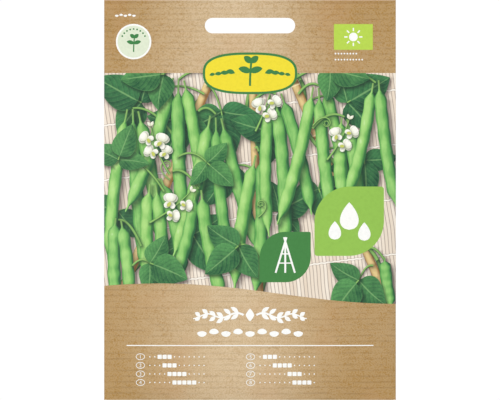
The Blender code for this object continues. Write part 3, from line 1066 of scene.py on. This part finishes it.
front.mark("deep_green", round_outline(PLAQUE, 33.0, 14.6, power=2.7, count=90))
front.mark("yellow", round_outline(PLAQUE, 31.4, 13.0, power=2.7, count=90))
for side in (-1, 1):
    for number in range(4):
        spot = PLAQUE + np.array([side * (5.2 + 2.3 * number), -0.1 * number])
        leaf = path(spot, side * (62 + 8 * number), 3.4 - 0.4 * number, side * 30, count=14)
        front.ribbon("deep_green", leaf, almond(14, 0.85 - 0.1 * number))
add_seedling(front, "deep_green", PLAQUE - (0.0, 4.4), 10.4)

front.mark("white", round_outline(ROUND_BADGE, 12.4, count=60))
front.mark("pale_green", round_outline(ROUND_BADGE, 11.2))
for turn in range(-64, 65, 16):
    front.mark("deep_green", round_outline(ROUND_BADGE + 4.4 * towards(turn), 0.62, count=12))
add_seedling(front, "deep_green", ROUND_BADGE - (0.0, 3.6), 6.2)

front.mark("lime", box_outline(LABEL, 13.6, 9.0, 0.05))
add_sun(front, "white", LABEL, 6.6)
add_bean_row((-43.6, 134.6), 5, 1.5, 1.3)
for height, count in LABEL_DOTS:
    for number in range(count):
        front.mark("white", round_outline((29.9 + 1.04 * number, height), 0.6, count=12))

front.mark("leaf_green", box_outline((34.65, 62.6), 24.3, 24.2, 12.3, 1.0))
for foot, size in DROPS:
    add_drop(front, "white", foot, size)

front.mark("mid_green", box_outline((12.3, 50.1), 17.8, 17.6, 8.9, 0.6))
for lean in (-TIE_LEAN, 0, TIE_LEAN):
    foot = TIE_FOOT - (11.0 * math.tan(math.radians(lean)), 0.0)
    front.ribbon("white", path(foot, lean, TIE_HEIGHT / math.cos(math.radians(lean)), count=10), 0.32)
for height in (3.4, 6.6):
    rung = path(TIE_FOOT + (height * 0.30 - 3.7, height), 90, 7.4 - height * 0.6, count=10)
    front.ribbon("white", rung, 0.2)

# The lower band
# White marks on the bare kraft: a scroll with leaves, a row of little beans, a long rule, and under it two
# columns of numbered ovals with a row of months each, where the months to sow in are squares.

SCROLL_HEIGHT = 29.9
BEANS_HEIGHT = 23.7
RULE_HEIGHT = 19.23
RULE_START = -43.07
RULE_LENGTH = 86.15
ROWS = (15.3, 12.3, 9.3, 6.3)
COLUMNS = (-38.25, 0.2)
MONTH_PITCH = 1.72
SEASONS = [(3, 5), (4, 6), (5, 8), (6, 10), (2, 4), (4, 7), (7, 9), (8, 11)]  # first and last month

for side in (-1, 1):
    share = np.linspace(0.0, 1.0, 60)
    height = SCROLL_HEIGHT + 0.75 * np.sin(share * 3.5 * math.pi) - 0.5 * share
    scroll = np.stack([side * (2.2 + 17.6 * share), height], axis=1)
    front.ribbon("white", scroll, np.linspace(0.36, 0.18, 60))
    for number in range(6):
        for lean in (-1, 1):
            heading = side * (90 + lean * 50)
            leaf = path(scroll[6 + 9 * number], heading, 3.5 - 0.24 * number, -lean * side * 26, count=12)
            front.ribbon("white", leaf, almond(12, 0.72))
front.mark("white", round_outline((0.0, SCROLL_HEIGHT), 3.0, 4.4, power=1.25, count=28))
add_bean_row((0.0, BEANS_HEIGHT), 9, 4.2, 3.4)
front.ribbon("white", path((RULE_START, RULE_HEIGHT), 90, RULE_LENGTH, count=70), 0.17)


def add_ring(face, ink_name, middle, across, up, width):
    """A ring of ink along an ellipse, as two halves that meet."""
    for start in (0.0, math.pi):
        turn = start + np.linspace(0.0, math.pi, 25)
        line = np.stack([middle[0] + across / 2 * np.cos(turn), middle[1] + up / 2 * np.sin(turn)], axis=1)
        face.ribbon(ink_name, line, width / 2)


def add_months(face, left, middle, pitch, first_month, last_month):
    """Twelve months in a row: a small square for each from the first to the last, and a dot for others."""
    for month in range(1, 13):
        place = (left + pitch * (month - 1), middle)
        if first_month <= month <= last_month:
            face.mark("white", box_outline(place, 0.84 * pitch, 0.84 * pitch, 0.2))
        else:
            face.mark("white", round_outline(place, 0.27 * pitch, count=10))


front_numbers = []
for number, season in enumerate(SEASONS):
    left, middle = COLUMNS[number // 4], ROWS[number % 4]
    add_ring(front, "white", (left, middle), 2.95, 2.1, 0.2)
    add_months(front, left + 3.3, middle, MONTH_PITCH, *season)
    front_numbers.append((str(number + 1), (left, middle), 1.25))


def grid_places(columns, rows):
    """A grid of places on a face, row by row."""
    return np.stack(np.meshgrid(columns, rows), axis=-1).reshape(-1, 2)


# Points between the outlines, so that the film follows the paper's curve, and guide lines on the paper's
# own columns beside and round the side folds, where it turns away most.
columns = columns_across(GRID * MM)[len(NEAR_FOLD) : -len(NEAR_FOLD)] / MM
picture_rows = np.arange(32.0, PICTURE_TOP, GRID)
other_rows = np.concatenate([np.arange(4.0, 32.0, 2 * GRID), np.arange(PICTURE_TOP + 1, 134.0, 2 * GRID)])
filling = np.concatenate([grid_places(columns, picture_rows), grid_places(columns[::2], other_rows)])
guide_rows = np.append(picture_rows, PICTURE_TOP + 1)
guide_columns = np.concatenate([FOLD_X - NEAR_FOLD, FOLD_X + ARC * np.array([1, 2]) / 6]) / MM
guides = [grid_places([a], guide_rows) for a in (*-guide_columns, *guide_columns)]

front.print_shapes(filling, guides)
front.print_numbers("front_numbers", "white", front_numbers)

# The print on the back
# The same inks on the back's wide panel, beside the lap: three pictograms, a sowing picture with a climbing
# pole and its seeds, a calendar, and ruled lines for the gardener's own notes.

BACK_LEFT = -18.0
BACK_RIGHT = 44.0
BACK_WIDTH = BACK_RIGHT - BACK_LEFT
BACK_MIDDLE = (BACK_LEFT + BACK_RIGHT) / 2
PICTOGRAMS = 100.0  # the height of their middles
SOIL = 66.0
MONTH_STEP = BACK_WIDTH / 12
POLES = (BACK_MIDDLE - 20.0, BACK_MIDDLE, BACK_MIDDLE + 20.0)

for a, add_pictogram, height, size in (
    (BACK_MIDDLE - 21, add_sun, 0.0, 8.4),
    (BACK_MIDDLE, add_drop, -3.8, 7.6),
    (BACK_MIDDLE + 21, add_seedling, -4.0, 8.4),
):
    back.mark("white", round_outline((a, PICTOGRAMS), 13.5, count=60))
    add_ring(back, "deep_green", (a, PICTOGRAMS), 12.1, 12.1, 0.3)
    add_pictogram(back, "deep_green", (a, PICTOGRAMS + height), size)

back.mark("pale_green", box_outline((BACK_MIDDLE, 73.0), BACK_WIDTH, 30.0, 2.5))
soil = path((BACK_LEFT + 3, SOIL), 90, BACK_WIDTH - 6, count=50)
soil[:, 1] += 0.25 * np.sin(soil[:, 0] * 1.9)
back.ribbon("deep_green", soil, 0.22)
for a in POLES:
    back.ribbon("mid_green", path((a, SOIL - 4), 0, 24.0, count=20), 0.42)
    climb = np.linspace(0.0, 1.0, 70)
    vine = np.stack([a + 1.5 * np.sin(climb * 5.5 * math.pi), SOIL + 18.5 * climb], axis=1)
    back.ribbon("deep_green", vine, 0.24)
    for at in range(8, 66, 13):
        side = 1 if vine[at, 0] > a else -1
        back.ribbon("deep_green", path(vine[at], side * 62, 2.9, side * 30, count=14), almond(14, 0.85))
    for side in (-1, 1):
        seed = path((a + side * 3.6 - 0.9, SOIL - 2.8), 90, 1.8, count=12)
        back.ribbon("deep_green", seed, almond(12, 0.55, 0.55))
spacings = []
for side in (-1, 1):
    back.ribbon("deep_green", path((BACK_MIDDLE + side * 10.0 - 6.5, 60.6), 90, 13.0, count=14), 0.12)
    spacings.append(("60", (BACK_MIDDLE + side * 10.0, 62.6), 1.9))

months = [(str(month), (BACK_LEFT + MONTH_STEP * (month - 0.5), 53.0), 1.7) for month in range(1, 13)]
for middle, *season in ((49.0, 5, 6), (44.6, 7, 10)):
    add_months(back, BACK_LEFT + MONTH_STEP / 2, middle, MONTH_STEP * 0.999, *season)
for height in (37.5, 33.5, 29.5, 25.5, 21.5):
    back.ribbon("white", path((BACK_LEFT, height), 90, BACK_WIDTH, count=40), 0.11)

back.print_shapes(grid_places(np.arange(-19.0, 46.0, 1.9), np.arange(20.0, 109.0, 1.9)))
back.print_numbers("back_numbers_deep_green", "deep_green", spacings)
back.print_numbers("back_numbers_white", "white", months)

# Floor, light and camera
# A plain pale floor well under the hanging packet, a bright even sky and two large soft lamps in front and
# one behind. The camera looks level and straight at the front through a long lens.

FLOOR_DROP = 90 * MM
FLOOR_RADIUS = 1.8
SKY_LIGHT = 0.66  # what the sky gives as light
SKY_SEEN = 1.02  # how bright the camera sees it
LENS = 300
FRAME_WIDTH = 174.9 * MM  # the photo's width at the packet's front
SENSOR = 36

floor_finish = Finish("floor", ink(250, 250, 250))
floor_finish.over(floor_finish.noise(3.0), ink(246, 246, 247))
turn = np.arange(96) * 2 * math.pi / 96
rim = np.stack([np.cos(turn), np.sin(turn), 0 * turn], axis=1) * FLOOR_RADIUS + (0, 0, FOOT - FLOOR_DROP)
floor = new_object("floor", new_mesh("floor", rim, [list(range(96))]))
floor.data.materials.append(floor_finish.done(0.9))

world = bpy.data.worlds.new("sky")
world.use_nodes = True
sky = world.node_tree
seen = add_node(sky, "LightPath", "Is Camera Ray", {})
feed(sky, sky.nodes["Background"].inputs["Color"], (1.0, 1.0, 1.0, 1.0))
strength = add_node(sky, "MapRange", 0, {"Value": seen, "To Min": SKY_LIGHT, "To Max": SKY_SEEN})
feed(sky, sky.nodes["Background"].inputs["Strength"], strength)
bpy.context.scene.world = world


def add_lamp(name, place, size, power):
    """A square soft lamp that faces the packet's middle."""
    data = bpy.data.lights.new(name, "AREA")
    data.size = size
    data.energy = power
    lamp = new_object(name, data)
    lamp.location = place
    aim = np.array([0.0, 0.0, MIDDLE]) - np.array(place)
    tilt = math.acos(aim[2] / -np.linalg.norm(aim))
    lamp.rotation_euler = (tilt, 0.0, math.atan2(aim[0], -aim[1]) + math.pi)


add_lamp("key", (-1.3, -2.1, 0.9), 1.0, 21.5)
add_lamp("fill", (2.0, -1.9, 0.7), 1.4, 7.6)
add_lamp("back", (1.0, 1.8, 1.0), 1.2, 11.0)

lens = bpy.data.cameras.new("camera")
lens.lens = LENS
lens.sensor_width = SENSOR
camera = new_object("camera", lens)
camera.location = (0.0, -FRAME_WIDTH * LENS / SENSOR, MIDDLE)
camera.rotation_euler = (math.pi / 2, 0.0, 0.0)
bpy.context.scene.camera = camera
bpy.context.scene.view_settings.view_transform = "Standard"
